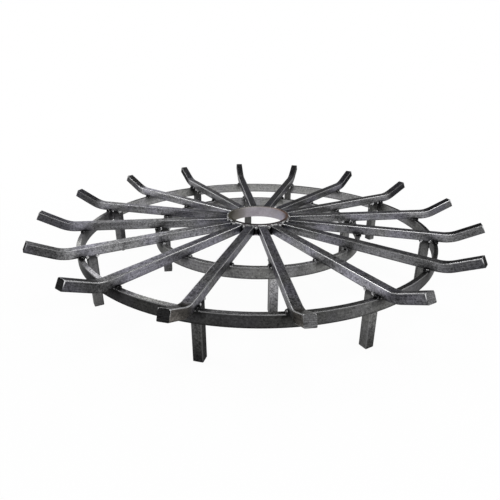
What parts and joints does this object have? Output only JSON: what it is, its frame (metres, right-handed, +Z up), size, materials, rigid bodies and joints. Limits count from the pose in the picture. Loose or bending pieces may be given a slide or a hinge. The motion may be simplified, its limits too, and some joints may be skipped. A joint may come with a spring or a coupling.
{
  "type": "log grate",
  "caption": "Round fire pit log grate: square bars radiate from a hub over two rings on short legs, their ends turned up.",
  "frame": {"origin": "on the axis of the hub, at the ground that the feet stand on", "axes": "+Z up along the axis of the hub; +X along the first bar, which stands over an inner leg"},
  "size_m": [1.0158, 1.0158, 0.1629],
  "materials": {
    "bar_steel": "bare hot-rolled steel with dark mill scale, rubbed bright along the edges",
    "ring_steel": "bare hot-rolled flat bar with dark mill scale",
    "leg_steel": "bare hot-rolled square bar with dark mill scale",
    "hub_steel": "bare steel, brown and blue heat tint near the welds",
    "weld_metal": "as-welded rippled beads, bright and sooty in places"
  },
  "bodies": {
    "root": {"hub_ring": "hub_steel", "inner_ring": "ring_steel", "outer_ring": "ring_steel", "bar_01": "bar_steel", "bar_02": "bar_steel", "bar_03": "bar_steel", "bar_04": "bar_steel", "bar_05": "bar_steel", "bar_06": "bar_steel", "bar_07": "bar_steel", "bar_08": "bar_steel", "bar_09": "bar_steel", "bar_10": "bar_steel", "bar_11": "bar_steel", "bar_12": "bar_steel", "bar_13": "bar_steel", "bar_14": "bar_steel", "bar_15": "bar_steel", "bar_16": "bar_steel", "outer_leg_01": "leg_steel", "outer_leg_02": "leg_steel", "outer_leg_03": "leg_steel", "outer_leg_04": "leg_steel", "outer_leg_05": "leg_steel", "outer_leg_06": "leg_steel", "outer_leg_07": "leg_steel", "outer_leg_08": "leg_steel", "inner_leg_01": "leg_steel", "inner_leg_02": "leg_steel", "inner_leg_03": "leg_steel", "inner_leg_04": "leg_steel", "hub_welds": "weld_metal", "outer_ring_welds": "weld_metal", "inner_ring_welds": "weld_metal", "outer_leg_welds": "weld_metal", "inner_leg_welds": "weld_metal"}
  },
  "joints": []
}
